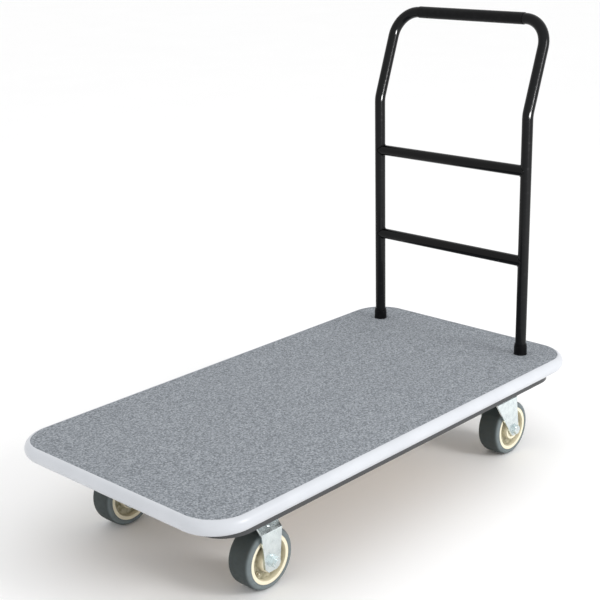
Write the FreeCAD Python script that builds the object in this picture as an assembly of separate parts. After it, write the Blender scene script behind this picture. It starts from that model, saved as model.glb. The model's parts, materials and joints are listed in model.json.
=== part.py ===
import FreeCAD, Part
import math
import os

# Platform cart. Millimetres, +Z up, origin on the floor under the middle of the deck.
# The handle stands at the +X end. The two rigid casters are at the -X end.

# ---- deck ----
DECK_LENGTH = 1168.4
DECK_WIDTH = 609.6
CARPET_CORNER_RADIUS = 76.0
CARPET_THICKNESS = 4.0
BOARD_THICKNESS = 18.0

# ---- edge bumper: a D-shaped strip whose tongue sits in a groove in the board ----
BUMPER_PROJECTION = 12.7
BUMPER_HEIGHT = 32.0
BUMPER_LEDGE = 1.0
TONGUE_LENGTH = 9.0
TONGUE_THICKNESS = 3.0
TONGUE_CLEARANCE = 0.2

# ---- underframe ----
FRAME_END_INSET = 32.0
FRAME_SIDE_INSET = 12.0
FRAME_CORNER_RADIUS = 66.0
RIM_DEPTH = 30.0
RIM_FLANGE = 30.0
RIM_SHEET = 2.5
CROSS_SHEET = 3.0
CROSS_LIP = 12.0
CASTER_CROSS_WIDTH = 124.0
CASTER_CROSS_DEPTH = 41.5
CASTER_CROSS_END_RUN = 21.0
SLIM_CROSS_WIDTH = 48.0

# ---- deck screws, through the rim's flange into the board ----
SCREW_DIAMETER = 5.0
SCREW_HEAD_DIAMETER = 10.0
SCREW_HEAD_HEIGHT = 2.5
SCREW_BITE = 12.0
SCREW_HOLE_PLAY = 0.25
SCREWS_PER_END = 3

# ---- wheels ----
WHEEL_DIAMETER = 127.0
TREAD_WIDTH = 54.0
TREAD_CROWN = 0.5
TYRE_SHOULDER = 9.0
TYRE_THICKNESS = 13.0
RIM_RING_WIDTH = 7.5
RIM_RING_RECESS = 0.5
RECESS_DEPTH = 12.0
RECESS_DRAFT = 2.0
BOSS_DIAMETER = 52.0
BOSS_DRAFT = 1.5
BOSS_COUNTERBORE = 38.0
COUNTERBORE_DEPTH = 2.5
HUB_EDGE_CHAMFER = 1.0
HUB_END_PLAY = 1.0
BUSH_WALL = 4.5
BUSH_PLAY = 0.05
SLEEVE_WALL = 3.0
SLEEVE_PLAY = 0.15
AXLE_DIAMETER = 12.7
AXLE_HOLE_PLAY = 0.2
HUB_SIDE_PLAY = 2.1

# ---- grease nipple, in the hub's outer recess ----
NIPPLE_HEX = 7.0
NIPPLE_HEX_HEIGHT = 3.5
NIPPLE_NECK_DIAMETER = 4.5
NIPPLE_TIP_DIAMETER = 6.0
NIPPLE_HEIGHT = 9.0
NIPPLE_RADIUS_FROM_AXLE = 34.5
FRONT_NIPPLE_ANGLE = 222.0
REAR_NIPPLE_ANGLE = 75.0

# ---- hexagon hardware ----
AXLE_HEX = 19.0
AXLE_HEAD_HEIGHT = 8.0
AXLE_NUT_HEIGHT = 11.0
NUT_FLANGE_DIAMETER = 26.0
NUT_FLANGE_HEIGHT = 2.0
AXLE_TIP = 2.5
PLATE_BOLT_DIAMETER = 8.0
PLATE_BOLT_HEX = 13.0
PLATE_BOLT_HEAD = 5.3
PLATE_NUT_HEIGHT = 6.8
PLATE_BOLT_TIP = 2.0
PLATE_HOLE_PLAY = 0.5
HEX_SIDES = 6
HEX_CHAMFER = 1.0

# ---- casters ----
CASTER_SIDE_SETBACK = 101.6
RIGID_CASTER_SETBACK = 207.2
SWIVEL_CASTER_SETBACK = 187.2
SWIVEL_LEAD = 35.0
PLATE_LENGTH = 114.3
PLATE_WIDTH = 101.6
PLATE_THICKNESS = 5.0
PLATE_CORNER = 8.0
PLATE_BOLT_SPACING_X = 92.1
PLATE_BOLT_SPACING_Y = 66.7
FORK_SHEET = 4.0
KINGPIN_CLEARANCE = 13.0
KINGPIN_DIAMETER = 12.0
KINGPIN_PLAY = 0.05
KINGPIN_HEAD_DIAMETER = 24.0
KINGPIN_HEAD_HEIGHT = 7.6
KINGPIN_TOP_DIAMETER = 18.0
KINGPIN_TOP_HEIGHT = 3.0
RACE_GAP = 4.0
RACE_BOSS_HEIGHT = 4.5
RACE_BOSS_DIAMETER = 50.0
RACE_PITCH_DIAMETER = 38.0
BALL_DIAMETER = 7.0
BALL_PLAY = 0.1
BALL_COUNT = 15
RIGID_SHOULDER_RUN = 20.0
RIGID_SHOULDER_DROP = 20.0
RIGID_NECK_HEIGHT = 14.0
RIGID_FORK_WIDTH = 55.0
RIGID_LEG_FOOT_WIDTH = 40.0
RIGID_FOOT_BELOW_AXLE = 21.0
RIGID_FOOT_CHAMFER = 9.0
SWIVEL_SHOULDER_RUN = 9.0
SWIVEL_SHOULDER_DROP = 9.0
SWIVEL_CROWN_FRONT = 36.0
SWIVEL_CROWN_BACK = 41.0
SWIVEL_CROWN_SIDE_DROP = 12.0
SWIVEL_FOOT_RADIUS = 16.0

# ---- handle ----
TUBE_DIAMETER = 25.0
TUBE_WALL = 2.0
HANDLE_END_SETBACK = 97.2
HANDLE_SIDE_SETBACK = 94.5
LOWER_BAR_HEIGHT = 222.6
UPPER_BAR_HEIGHT = 432.2
KNEE_HEIGHT = 558.0
KNEE_ANGLE = 20.0
KNEE_RADIUS = 50.0
SLOPE_LENGTH = 213.0
GRIP_SLEEVE_WALL = 1.1
GRIP_SLEEVE_SHORT_OF_BEND = 3.0
TOP_CORNER_RADIUS = 61.0
POST_DEPTH = 72.0
POST_PLAY = 0.1
PLUG_FLANGE = 3.0
PLUG_LENGTH = 20.0
SOCKET_WALL = 3.4
SOCKET_BASE = 3.0
COLLAR_HEIGHT = 24.0
COLLAR_WALL = 2.4
COLLAR_STEP = 0.7
COLLAR_STEP_HEIGHT = 5.0
COLLAR_SPIGOT_WALL = 1.4
COLLAR_HOLE_PLAY = 0.4

# ---- levels and half sizes worked out from the above ----
RIGHT = -1
LEFT = 1
SIDES = (("right", RIGHT), ("left", LEFT))
QUARTER_TURN = 90.0
FULL_TURN = 360.0
UP = FreeCAD.Vector(0, 0, 1)
ALONG_X = FreeCAD.Vector(1, 0, 0)
ALONG_Y = FreeCAD.Vector(0, 1, 0)

wheel_radius = WHEEL_DIAMETER / 2
axle_radius = AXLE_DIAMETER / 2
tube_radius = TUBE_DIAMETER / 2
kingpin_head_z = WHEEL_DIAMETER + KINGPIN_CLEARANCE
crown_under_z = kingpin_head_z + KINGPIN_HEAD_HEIGHT
crown_top_z = crown_under_z + FORK_SHEET
race_boss_z = crown_top_z + RACE_GAP
plate_under_z = race_boss_z + RACE_BOSS_HEIGHT
plate_top_z = plate_under_z + PLATE_THICKNESS
board_under_z = plate_top_z + CASTER_CROSS_DEPTH
board_top_z = board_under_z + BOARD_THICKNESS
deck_top_z = board_top_z + CARPET_THICKNESS
rim_bottom_z = board_under_z - RIM_DEPTH
board_half_length = DECK_LENGTH / 2 - BUMPER_PROJECTION
board_half_width = DECK_WIDTH / 2 - BUMPER_PROJECTION
frame_half_length = board_half_length - FRAME_END_INSET
frame_half_width = board_half_width - FRAME_SIDE_INSET
fork_inner_y = TREAD_WIDTH / 2 + HUB_SIDE_PLAY + HUB_END_PLAY
fork_outer_y = fork_inner_y + FORK_SHEET
hub_half_length = fork_inner_y - HUB_END_PLAY
sleeve_radius = axle_radius + SLEEVE_PLAY + SLEEVE_WALL
bush_bore_radius = sleeve_radius + BUSH_PLAY
bush_radius = bush_bore_radius + BUSH_WALL
handle_x = DECK_LENGTH / 2 - HANDLE_END_SETBACK
post_y = DECK_WIDTH / 2 - HANDLE_SIDE_SETBACK
post_foot_z = deck_top_z - POST_DEPTH
socket_radius = tube_radius + POST_PLAY + SOCKET_WALL
collar_radius = tube_radius + POST_PLAY + COLLAR_WALL
spigot_radius = tube_radius + POST_PLAY + COLLAR_SPIGOT_WALL
caster_y = DECK_WIDTH / 2 - CASTER_SIDE_SETBACK
rigid_caster_x = RIGID_CASTER_SETBACK - DECK_LENGTH / 2
swivel_caster_x = DECK_LENGTH / 2 - SWIVEL_CASTER_SETBACK
axle_z = wheel_radius
swivel_axle_x = swivel_caster_x + SWIVEL_LEAD


def vec(x, y, z):
    return FreeCAD.Vector(x, y, z)


def box(low, high):
    """Box between two corners."""
    size = high - low
    return Part.makeBox(size.x, size.y, size.z, low)


def cylinder_z(radius, low_z, high_z, x=0.0, y=0.0):
    return Part.makeCylinder(radius, high_z - low_z, vec(x, y, low_z), UP)


def cylinder_y(radius, low_y, high_y, x=0.0, z=0.0):
    return Part.makeCylinder(radius, high_y - low_y, vec(x, low_y, z), ALONG_Y)


def polygon_face(points):
    return Part.Face(Part.makePolygon(points + [points[0]]))


def rounded_slab(half_x, half_y, radius, low_z, high_z):
    """Flat rounded rectangle with upright sides."""
    slab = box(vec(-half_x, -half_y, low_z), vec(half_x, half_y, high_z))
    uprights = [
        edge
        for edge in slab.Edges
        if abs(edge.Vertexes[0].Z - edge.Vertexes[1].Z) > (high_z - low_z) / 2
    ]
    return slab.makeFillet(radius, uprights)


def rounded_ring(make_section, half_x, half_y, radius):
    """Carries an upright section round a rounded rectangle: four straight runs and four corners.

    make_section(place) returns the section's face, with place(out, z) giving a point that lies
    out from the +X side's outline at height z.
    """
    section = make_section(lambda out, z: vec(half_x + out, 0, z))
    side = section.copy()
    side.translate(vec(0, -(half_y - radius), 0))
    side = side.extrude(vec(0, 2 * (half_y - radius), 0))
    end_section = make_section(lambda out, z: vec(0, half_y + out, z))
    end = end_section.copy()
    end.translate(vec(-(half_x - radius), 0, 0))
    end = end.extrude(vec(2 * (half_x - radius), 0, 0))
    corner_section = section.copy()
    corner_section.translate(vec(0, half_y - radius, 0))
    pivot = vec(half_x - radius, half_y - radius, 0)
    corner = corner_section.revolve(pivot, UP, QUARTER_TURN)
    flip_x = corner.mirror(vec(0, 0, 0), ALONG_X)
    pieces = [
        side,
        side.mirror(vec(0, 0, 0), ALONG_X),
        end,
        end.mirror(vec(0, 0, 0), ALONG_Y),
        corner,
        flip_x,
        corner.mirror(vec(0, 0, 0), ALONG_Y),
        flip_x.mirror(vec(0, 0, 0), ALONG_Y),
    ]
    return pieces[0].fuse(pieces[1:]).removeSplitter()


def hexagon(across_flats, low, height, axis):
    """Hexagonal prism with both rims chamfered, standing at low and rising along axis."""
    corner_radius = across_flats / 2 / math.cos(math.pi / HEX_SIDES)
    points = [
        vec(
            corner_radius * math.cos(2 * math.pi * i / HEX_SIDES),
            corner_radius * math.sin(2 * math.pi * i / HEX_SIDES),
            0,
        )
        for i in range(HEX_SIDES)
    ]
    blank = Part.makeCylinder(corner_radius, height)
    rims = [edge for edge in blank.Edges if edge.Closed]
    piece = polygon_face(points).extrude(vec(0, 0, height)).common(blank.makeChamfer(HEX_CHAMFER, rims))
    piece.Placement = FreeCAD.Placement(low, FreeCAD.Rotation(UP, axis))
    return piece


def save(name, shape):
    """Writes one node, after checking that every solid in it is closed and valid."""
    solids = shape.Solids
    if not solids or not shape.isValid() or any(s.Volume <= 0 for s in solids):
        raise ValueError("bad solid in " + name)
    clean = solids[0] if len(solids) == 1 else Part.Compound(solids)
    clean.exportStep("parts/" + name + ".step")
    print(name, len(solids), round(clean.Volume / 1000, 1), "cm3")


# ---------------------------------------------------------------- deck


def deck_holes(radius, low_z, high_z):
    """Round holes for the two handle posts."""
    return [cylinder_z(radius, low_z, high_z, handle_x, side * post_y) for _, side in SIDES]


def groove_level():
    """Height of the middle of the bumper's tongue, half way up the board."""
    return board_under_z + BOARD_THICKNESS / 2


def make_carpet():
    carpet = rounded_slab(
        board_half_length, board_half_width, CARPET_CORNER_RADIUS, board_top_z, deck_top_z
    )
    return carpet.cut(deck_holes(collar_radius + COLLAR_HOLE_PLAY, board_top_z, deck_top_z))


def make_board():
    board = rounded_slab(
        board_half_length, board_half_width, CARPET_CORNER_RADIUS, board_under_z, board_top_z
    )
    half_groove = TONGUE_THICKNESS / 2 + TONGUE_CLEARANCE
    depth = TONGUE_LENGTH + TONGUE_CLEARANCE

    def groove_section(place):
        low = groove_level() - half_groove
        high = groove_level() + half_groove
        return polygon_face(
            [place(-depth, low), place(depth, low), place(depth, high), place(-depth, high)]
        )

    groove = rounded_ring(
        groove_section, board_half_length, board_half_width, CARPET_CORNER_RADIUS
    )
    holes = deck_holes(spigot_radius + COLLAR_HOLE_PLAY, board_under_z, board_top_z)
    pilots = [
        cylinder_z(SCREW_DIAMETER / 2, board_under_z, board_under_z + SCREW_BITE, x, y)
        for x, y in screw_places()
    ]
    return board.cut(groove).cut(holes + pilots)


def make_bumper():
    """D-shaped strip flush with the carpet, with a tongue into the board's groove."""
    bottom_z = deck_top_z - BUMPER_HEIGHT
    middle_z = deck_top_z - BUMPER_HEIGHT / 2
    tongue_low = groove_level() - TONGUE_THICKNESS / 2
    tongue_high = groove_level() + TONGUE_THICKNESS / 2

    def section(place):
        bulge = Part.Arc(
            place(BUMPER_LEDGE, deck_top_z),
            place(BUMPER_PROJECTION, middle_z),
            place(BUMPER_LEDGE, bottom_z),
        ).toShape()
        corners = [
            place(BUMPER_LEDGE, bottom_z),
            place(0, bottom_z),
            place(0, tongue_low),
            place(-TONGUE_LENGTH, tongue_low),
            place(-TONGUE_LENGTH, tongue_high),
            place(0, tongue_high),
            place(0, deck_top_z),
            place(BUMPER_LEDGE, deck_top_z),
        ]
        return Part.Face(Part.Wire([bulge] + Part.makePolygon(corners).Edges))

    return rounded_ring(section, board_half_length, board_half_width, CARPET_CORNER_RADIUS)


# ---------------------------------------------------------------- underframe


def largest_solid(shape):
    return max(shape.Solids, key=lambda solid: solid.Volume)


def evenly(low, high, count):
    return [low + (high - low) * i / (count - 1) for i in range(count)]


def bays():
    """Clear runs of the rim's sides between one crossmember and the next, as (from x, to x)."""
    caster_half = CASTER_CROSS_WIDTH / 2
    slim_half = SLIM_CROSS_WIDTH / 2
    return [
        (FRAME_CORNER_RADIUS - frame_half_length, rigid_caster_x - caster_half),
        (rigid_caster_x + caster_half, -slim_half),
        (slim_half, swivel_caster_x - caster_half),
    ]


def screw_places():
    """Middle line of the rim's flange: one or two a bay on the sides, and a row at each end."""
    line_y = frame_half_width - RIM_FLANGE / 2
    line_x = frame_half_length - RIM_FLANGE / 2
    reach_y = frame_half_width - FRAME_CORNER_RADIUS
    along = []
    for start, end in bays():
        count = 1 if end - start < CASTER_CROSS_WIDTH else 2
        for i in range(count):
            x = start + (end - start) * (i + 1) / (count + 1)
            along += [(x, side * line_y) for _, side in SIDES]
    across = [(end * line_x, y) for y in evenly(-reach_y, reach_y, SCREWS_PER_END) for end in (-1, 1)]
    return along + across


def make_rim():
    """Angle section bent round the frame: an upright skirt and a flange under the board."""

    def section(place):
        return polygon_face(
            [
                place(0, board_under_z),
                place(0, rim_bottom_z),
                place(-RIM_SHEET, rim_bottom_z),
                place(-RIM_SHEET, board_under_z - RIM_SHEET),
                place(-RIM_FLANGE, board_under_z - RIM_SHEET),
                place(-RIM_FLANGE, board_under_z),
            ]
        )

    rim = rounded_ring(section, frame_half_length, frame_half_width, FRAME_CORNER_RADIUS)
    holes = [
        cylinder_z(SCREW_DIAMETER / 2 + SCREW_HOLE_PLAY, rim_bottom_z, board_under_z, x, y)
        for x, y in screw_places()
    ]
    return rim.cut(holes)


def make_screws():
    head_z = board_under_z - RIM_SHEET
    screws = []
    for x, y in screw_places():
        shank = cylinder_z(SCREW_DIAMETER / 2, head_z, board_under_z + SCREW_BITE, x, y)
        head = cylinder_z(SCREW_HEAD_DIAMETER / 2, head_z - SCREW_HEAD_HEIGHT, head_z, x, y)
        screws.append(shank.fuse(head).removeSplitter())
    return Part.Compound(screws)


def lipped_channel(centre_x, width, depth, end_run, rim):
    """Channel across the frame, open upwards, its lips turned in under the board.

    The ends stop against the rim's skirt, notched for its flange and raked up over end_run.
    """
    bottom_z = board_under_z - depth
    reach = frame_half_width - RIM_SHEET
    half = width / 2
    right = [
        (half, bottom_z),
        (half, board_under_z),
        (half - CROSS_LIP, board_under_z),
        (half - CROSS_LIP, board_under_z - CROSS_SHEET),
        (half - CROSS_SHEET, board_under_z - CROSS_SHEET),
        (half - CROSS_SHEET, bottom_z + CROSS_SHEET),
    ]
    points = right + [(-x, z) for x, z in reversed(right)]
    section = polygon_face([vec(centre_x + x, -reach, z) for x, z in points])
    channel = section.extrude(vec(0, 2 * reach, 0))
    if end_run:
        outline = [
            (-reach, board_under_z),
            (-reach, bottom_z + end_run),
            (-reach + end_run, bottom_z),
            (reach - end_run, bottom_z),
            (reach, bottom_z + end_run),
            (reach, board_under_z),
        ]
        face = polygon_face([vec(centre_x - half, y, z) for y, z in outline])
        channel = channel.common(face.extrude(vec(width, 0, 0)))
    return largest_solid(channel.cut(rim))


def plate_bolt_places(caster_x, side):
    return [
        (caster_x + sx * PLATE_BOLT_SPACING_X / 2, side * caster_y + sy * PLATE_BOLT_SPACING_Y / 2)
        for sx in (-1, 1)
        for sy in (-1, 1)
    ]


def plate_holes(caster_x, side, low_z, high_z):
    radius = (PLATE_BOLT_DIAMETER + PLATE_HOLE_PLAY) / 2
    return [
        cylinder_z(radius, low_z, high_z, x, y) for x, y in plate_bolt_places(caster_x, side)
    ]


def make_caster_crossmember(caster_x, rim):
    channel = lipped_channel(
        caster_x, CASTER_CROSS_WIDTH, CASTER_CROSS_DEPTH, CASTER_CROSS_END_RUN, rim
    )
    holes = []
    for _, side in SIDES:
        holes += plate_holes(caster_x, side, plate_top_z, board_under_z)
    return channel.cut(holes)


def make_handle_crossmember(rim):
    channel = lipped_channel(handle_x, SLIM_CROSS_WIDTH, RIM_DEPTH, 0, rim)
    return channel.cut(deck_holes(socket_radius, rim_bottom_z, board_under_z))


# ---------------------------------------------------------------- caster hardware


def make_plate_bolts():
    bolts = []
    nuts = []
    web_top_z = plate_top_z + CROSS_SHEET
    tip_z = web_top_z + PLATE_NUT_HEIGHT + PLATE_BOLT_TIP
    head_z = plate_under_z - PLATE_BOLT_HEAD
    for caster_x in (rigid_caster_x, swivel_caster_x):
        for _, side in SIDES:
            for x, y in plate_bolt_places(caster_x, side):
                head = hexagon(PLATE_BOLT_HEX, vec(x, y, head_z), PLATE_BOLT_HEAD, UP)
                shank = cylinder_z(PLATE_BOLT_DIAMETER / 2, plate_under_z, tip_z, x, y)
                bolts.append(head.fuse(shank))
                nut = hexagon(PLATE_BOLT_HEX, vec(x, y, web_top_z), PLATE_NUT_HEIGHT, UP)
                nuts.append(nut.cut(shank))
    return Part.Compound(bolts), Part.Compound(nuts)


def make_axle_bolt(x, y, nut_side):
    """Hexagon bolt through the fork: its head is on the side away from the nut."""
    head_y = -nut_side * fork_outer_y
    tip_y = nut_side * (fork_outer_y + AXLE_NUT_HEIGHT + AXLE_TIP)
    shank = cylinder_y(axle_radius, min(head_y, tip_y), max(head_y, tip_y), x, axle_z)
    outward = vec(0, -nut_side, 0)
    seat = vec(x, head_y, axle_z)
    flange = Part.makeCylinder(NUT_FLANGE_DIAMETER / 2, NUT_FLANGE_HEIGHT, seat, outward)
    hex_seat = seat + outward * NUT_FLANGE_HEIGHT
    head = hexagon(AXLE_HEX, hex_seat, AXLE_HEAD_HEIGHT - NUT_FLANGE_HEIGHT, outward)
    bolt = shank.fuse([flange, head]).removeSplitter()
    bolt.translate(vec(0, y, 0))
    return bolt


def make_axle_nut(x, y, nut_side):
    """Hexagon nut with a round flange that bears on the fork."""
    outward = vec(0, nut_side, 0)
    seat = vec(x, nut_side * fork_outer_y, axle_z)
    flange = Part.makeCylinder(NUT_FLANGE_DIAMETER / 2, NUT_FLANGE_HEIGHT, seat, outward)
    hex_seat = seat + outward * NUT_FLANGE_HEIGHT
    body = hexagon(AXLE_HEX, hex_seat, AXLE_NUT_HEIGHT - NUT_FLANGE_HEIGHT, outward)
    bore = Part.makeCylinder(axle_radius, AXLE_NUT_HEIGHT, seat, outward)
    nut = flange.fuse(body).cut(bore)
    nut.translate(vec(0, y, 0))
    return nut


def make_sleeve(x, y):
    """Steel tube clamped between the fork's legs, which the wheel turns on."""
    outer = cylinder_y(sleeve_radius, y - fork_inner_y, y + fork_inner_y, x, axle_z)
    inner = cylinder_y(axle_radius + SLEEVE_PLAY, y - fork_inner_y, y + fork_inner_y, x, axle_z)
    return outer.cut(inner)


def make_bush(x, y):
    outer = cylinder_y(bush_radius, y - hub_half_length, y + hub_half_length, x, axle_z)
    inner = cylinder_y(bush_bore_radius, y - hub_half_length, y + hub_half_length, x, axle_z)
    return outer.cut(inner)


# ---------------------------------------------------------------- wheels


def revolve_about_axle(edges, x, y):
    """Turns an outline, drawn as (y, radius) above the axle, into a ring round the axle."""
    face = Part.Face(Part.Wire(edges))
    ring = face.revolve(vec(0, 0, 0), ALONG_Y, FULL_TURN)
    ring.translate(vec(x, y, axle_z))
    return ring


def make_tyre(x, y):
    half = TREAD_WIDTH / 2
    inner = wheel_radius - TYRE_THICKNESS
    face_edge = half - RIM_RING_RECESS - HUB_EDGE_CHAMFER
    tread_y = half - TYRE_SHOULDER
    tread_r = wheel_radius - TREAD_CROWN
    shoulder_r = tread_r - TYRE_SHOULDER
    diagonal = TYRE_SHOULDER * math.cos(math.pi / 4)

    def at(across, radius):
        return vec(0, across, radius)

    def shoulder(side):
        start = at(side * half, shoulder_r)
        middle = at(side * (tread_y + diagonal), shoulder_r + diagonal)
        return Part.Arc(start, middle, at(side * tread_y, tread_r)).toShape()

    crown = Part.Arc(at(tread_y, tread_r), at(0, wheel_radius), at(-tread_y, tread_r)).toShape()
    inside = Part.makePolygon(
        [
            at(-half, shoulder_r),
            at(-face_edge, inner),
            at(face_edge, inner),
            at(half, shoulder_r),
        ]
    ).Edges
    return revolve_about_axle([shoulder(1), crown, shoulder(-1)] + inside, x, y)


def make_hub(x, y):
    rim_r = wheel_radius - TYRE_THICKNESS
    ring_r = rim_r - RIM_RING_WIDTH
    face_y = TREAD_WIDTH / 2 - RIM_RING_RECESS
    web_y = face_y - RECESS_DEPTH
    boss_r = BOSS_DIAMETER / 2
    half_points = [
        (face_y - HUB_EDGE_CHAMFER, rim_r),
        (face_y, rim_r - HUB_EDGE_CHAMFER),
        (face_y, ring_r),
        (web_y, ring_r - RECESS_DRAFT),
        (web_y, boss_r + BOSS_DRAFT),
        (hub_half_length, boss_r),
        (hub_half_length, BOSS_COUNTERBORE / 2),
        (hub_half_length - COUNTERBORE_DEPTH, BOSS_COUNTERBORE / 2),
        (hub_half_length - COUNTERBORE_DEPTH, bush_radius),
    ]
    outline = [vec(0, a, r) for a, r in half_points]
    outline += [vec(0, -a, r) for a, r in reversed(half_points)]
    edges = Part.makePolygon(outline + [outline[0]]).Edges
    return revolve_about_axle(edges, x, y)


def make_nipple(x, y, side, angle):
    """Grease nipple standing on the web of the hub's outer face."""
    web_y = TREAD_WIDTH / 2 - RIM_RING_RECESS - RECESS_DEPTH
    outward = ALONG_Y * side
    turn = math.radians(angle)
    seat = vec(
        x + NIPPLE_RADIUS_FROM_AXLE * math.cos(turn),
        y + side * web_y,
        axle_z + NIPPLE_RADIUS_FROM_AXLE * math.sin(turn),
    )
    tip_radius = NIPPLE_TIP_DIAMETER / 2
    base = hexagon(NIPPLE_HEX, seat, NIPPLE_HEX_HEIGHT, outward)
    neck = Part.makeCylinder(NIPPLE_NECK_DIAMETER / 2, NIPPLE_HEIGHT - tip_radius, seat, outward)
    tip = Part.makeSphere(tip_radius, seat + outward * (NIPPLE_HEIGHT - tip_radius))
    return base.fuse([neck, tip]).removeSplitter()


# ---------------------------------------------------------------- forks and top plates


def bent_sheet(half_top, neck, shoulder_run, shoulder_drop, top_z, low_z, from_x, to_x):
    """Folded fork blank at y 0: flat crown, an upright neck, sloping shoulders and upright legs."""
    slope = math.hypot(shoulder_run, shoulder_drop)
    upright_shift = FORK_SHEET * (slope - shoulder_run) / shoulder_drop
    half_leg = half_top + shoulder_run
    shoulder_z = top_z - neck
    crease_z = shoulder_z - shoulder_drop
    outer = [(half_top, top_z), (half_leg, crease_z), (half_leg, low_z)]
    inner = [(half_leg - FORK_SHEET, low_z), (half_leg - FORK_SHEET, crease_z - upright_shift)]
    if neck:
        outer.insert(1, (half_top, shoulder_z))
        inner.append((half_top - FORK_SHEET, shoulder_z - upright_shift))
        inner.append((half_top - FORK_SHEET, top_z - FORK_SHEET))
    else:
        crown_shift = FORK_SHEET * (slope - shoulder_drop) / shoulder_run
        inner.append((half_top - crown_shift, top_z - FORK_SHEET))
    right_half = outer + inner
    left_half = [(-y, z) for y, z in reversed(right_half)]
    points = [vec(from_x, y, z) for y, z in right_half + left_half]
    return polygon_face(points).extrude(vec(to_x - from_x, 0, 0))


def fork_outline(points, extra=None):
    """Side outline of a fork, as a block across both legs."""
    span = fork_outer_y + FORK_SHEET
    block = polygon_face([vec(x, -span, z) for x, z in points]).extrude(vec(0, 2 * span, 0))
    return block.fuse(extra).removeSplitter() if extra else block


def axle_hole(x):
    radius = axle_radius + AXLE_HOLE_PLAY
    return cylinder_y(radius, -fork_outer_y - FORK_SHEET, fork_outer_y + FORK_SHEET, x, axle_z)


def make_rigid_fork(side):
    half_top = fork_outer_y - RIGID_SHOULDER_RUN
    foot_z = axle_z - RIGID_FOOT_BELOW_AXLE
    half_width = RIGID_FORK_WIDTH / 2
    half_foot = RIGID_LEG_FOOT_WIDTH / 2
    knee_z = plate_under_z - RIGID_NECK_HEIGHT - RIGID_SHOULDER_DROP
    sheet = bent_sheet(
        half_top,
        RIGID_NECK_HEIGHT,
        RIGID_SHOULDER_RUN,
        RIGID_SHOULDER_DROP,
        plate_under_z,
        foot_z,
        -half_width,
        half_width,
    )
    right = [
        (half_width, plate_under_z),
        (half_width, knee_z),
        (half_foot, foot_z + RIGID_FOOT_CHAMFER),
        (half_foot - RIGID_FOOT_CHAMFER, foot_z),
    ]
    outline = right + [(-x, z) for x, z in reversed(right)]
    fork = sheet.common(fork_outline(outline)).cut(axle_hole(0))
    fork.translate(vec(rigid_caster_x, side * caster_y, 0))
    return fork


def tangent_point(point, centre, radius, turn):
    """Where a line from point touches a circle; turn is +1 or -1 for its two sides."""
    dx = point[0] - centre[0]
    dz = point[1] - centre[1]
    distance = math.hypot(dx, dz)
    angle = math.atan2(dz, dx) + turn * math.acos(radius / distance)
    return (centre[0] + radius * math.cos(angle), centre[1] + radius * math.sin(angle))


def make_swivel_fork(side):
    half_top = fork_outer_y - SWIVEL_SHOULDER_RUN
    sheet = bent_sheet(
        half_top,
        0,
        SWIVEL_SHOULDER_RUN,
        SWIVEL_SHOULDER_DROP,
        crown_top_z,
        axle_z - SWIVEL_FOOT_RADIUS,
        -SWIVEL_CROWN_FRONT,
        SWIVEL_LEAD + SWIVEL_FOOT_RADIUS,
    )
    centre = (SWIVEL_LEAD, axle_z)
    front_low = (-SWIVEL_CROWN_FRONT, crown_top_z - SWIVEL_CROWN_SIDE_DROP)
    back_low = (SWIVEL_CROWN_BACK, crown_top_z - SWIVEL_CROWN_SIDE_DROP)
    outline = [
        (-SWIVEL_CROWN_FRONT, crown_top_z),
        front_low,
        tangent_point(front_low, centre, SWIVEL_FOOT_RADIUS, 1),
        tangent_point(back_low, centre, SWIVEL_FOOT_RADIUS, -1),
        back_low,
        (SWIVEL_CROWN_BACK, crown_top_z),
    ]
    span = fork_outer_y + FORK_SHEET
    foot = cylinder_y(SWIVEL_FOOT_RADIUS, -span, span, SWIVEL_LEAD, axle_z)
    fork = sheet.common(fork_outline(outline, foot)).cut(axle_hole(SWIVEL_LEAD))
    pin_hole = cylinder_z(KINGPIN_DIAMETER / 2 + KINGPIN_PLAY, crown_under_z, crown_top_z)
    fork = fork.cut(pin_hole).cut(race_groove())
    fork.translate(vec(swivel_caster_x, side * caster_y, 0))
    return fork


def race_groove():
    middle_z = crown_top_z + RACE_GAP / 2
    pitch = RACE_PITCH_DIAMETER / 2
    return Part.makeTorus(pitch, BALL_DIAMETER / 2 + BALL_PLAY, vec(0, 0, middle_z), UP)


def make_balls(side):
    pitch = RACE_PITCH_DIAMETER / 2
    middle_z = crown_top_z + RACE_GAP / 2
    balls = []
    for i in range(BALL_COUNT):
        angle = 2 * math.pi * i / BALL_COUNT
        place = vec(pitch * math.cos(angle), pitch * math.sin(angle), middle_z)
        ball = Part.makeSphere(BALL_DIAMETER / 2, place)
        ball.translate(vec(swivel_caster_x, side * caster_y, 0))
        balls.append(ball)
    return Part.Compound(balls)


def make_kingpin(side):
    """Pin riveted over in the plate's countersink, with its head under the fork's crown."""
    radius = KINGPIN_DIAMETER / 2
    head = cylinder_z(KINGPIN_HEAD_DIAMETER / 2, kingpin_head_z, crown_under_z - KINGPIN_PLAY)
    shank = cylinder_z(radius, crown_under_z - KINGPIN_PLAY, plate_top_z)
    top = Part.makeCone(
        radius, KINGPIN_TOP_DIAMETER / 2, KINGPIN_TOP_HEIGHT, vec(0, 0, plate_top_z - KINGPIN_TOP_HEIGHT)
    )
    pin = head.fuse([shank, top]).removeSplitter()
    pin.translate(vec(swivel_caster_x, side * caster_y, 0))
    return pin


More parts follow.
